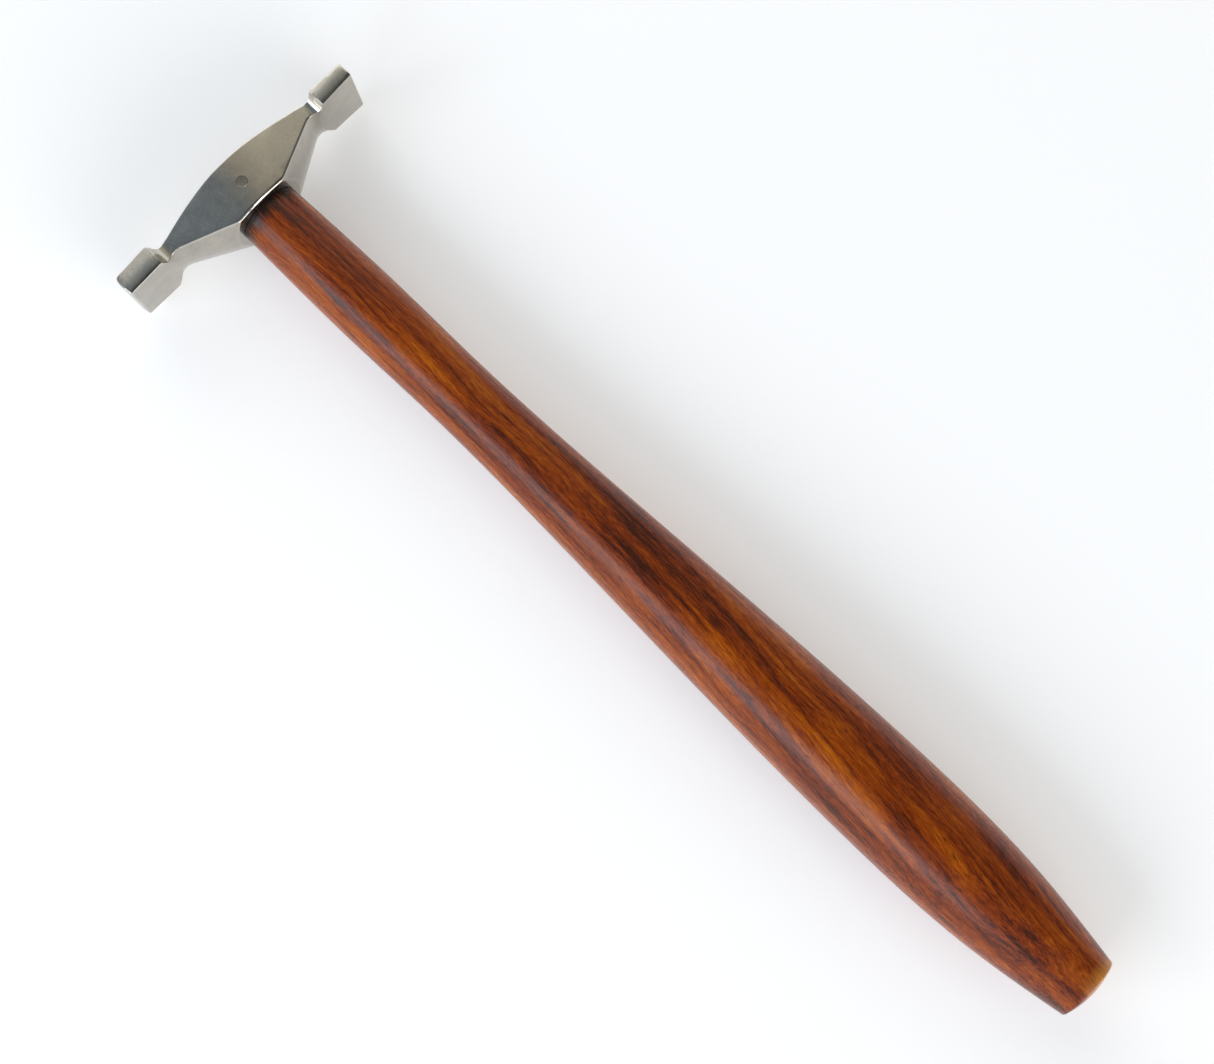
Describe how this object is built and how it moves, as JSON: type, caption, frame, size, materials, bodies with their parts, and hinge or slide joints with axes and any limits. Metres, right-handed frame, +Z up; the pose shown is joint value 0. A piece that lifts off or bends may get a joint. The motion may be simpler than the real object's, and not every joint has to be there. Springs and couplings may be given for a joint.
{
  "type": "raising hammer",
  "caption": "Metalworker's hammer with a one-piece polished steel head, a cross-wise rectangular face at each end, and a turned hardwood handle.",
  "frame": {"origin": "on the surface the hammer lies on, under the middle of its bounding box; the handle's axis is 12.5 mm above it", "axes": "+X along the handle from the head to the butt, +Y along the head towards its narrow flat face, +Z up, square to the cheeks"},
  "size_m": [0.2666, 0.0712, 0.025],
  "materials": {
    "head_steel": "satin polish",
    "handle_wood": "oiled satin",
    "pin_steel": "satin, ground flush",
    "epoxy": "cured resin"
  },
  "bodies": {
    "root": {"hammer_head": "head_steel", "handle": "handle_wood", "cross_pin": "pin_steel", "epoxy_bond": "epoxy"}
  },
  "joints": []
}
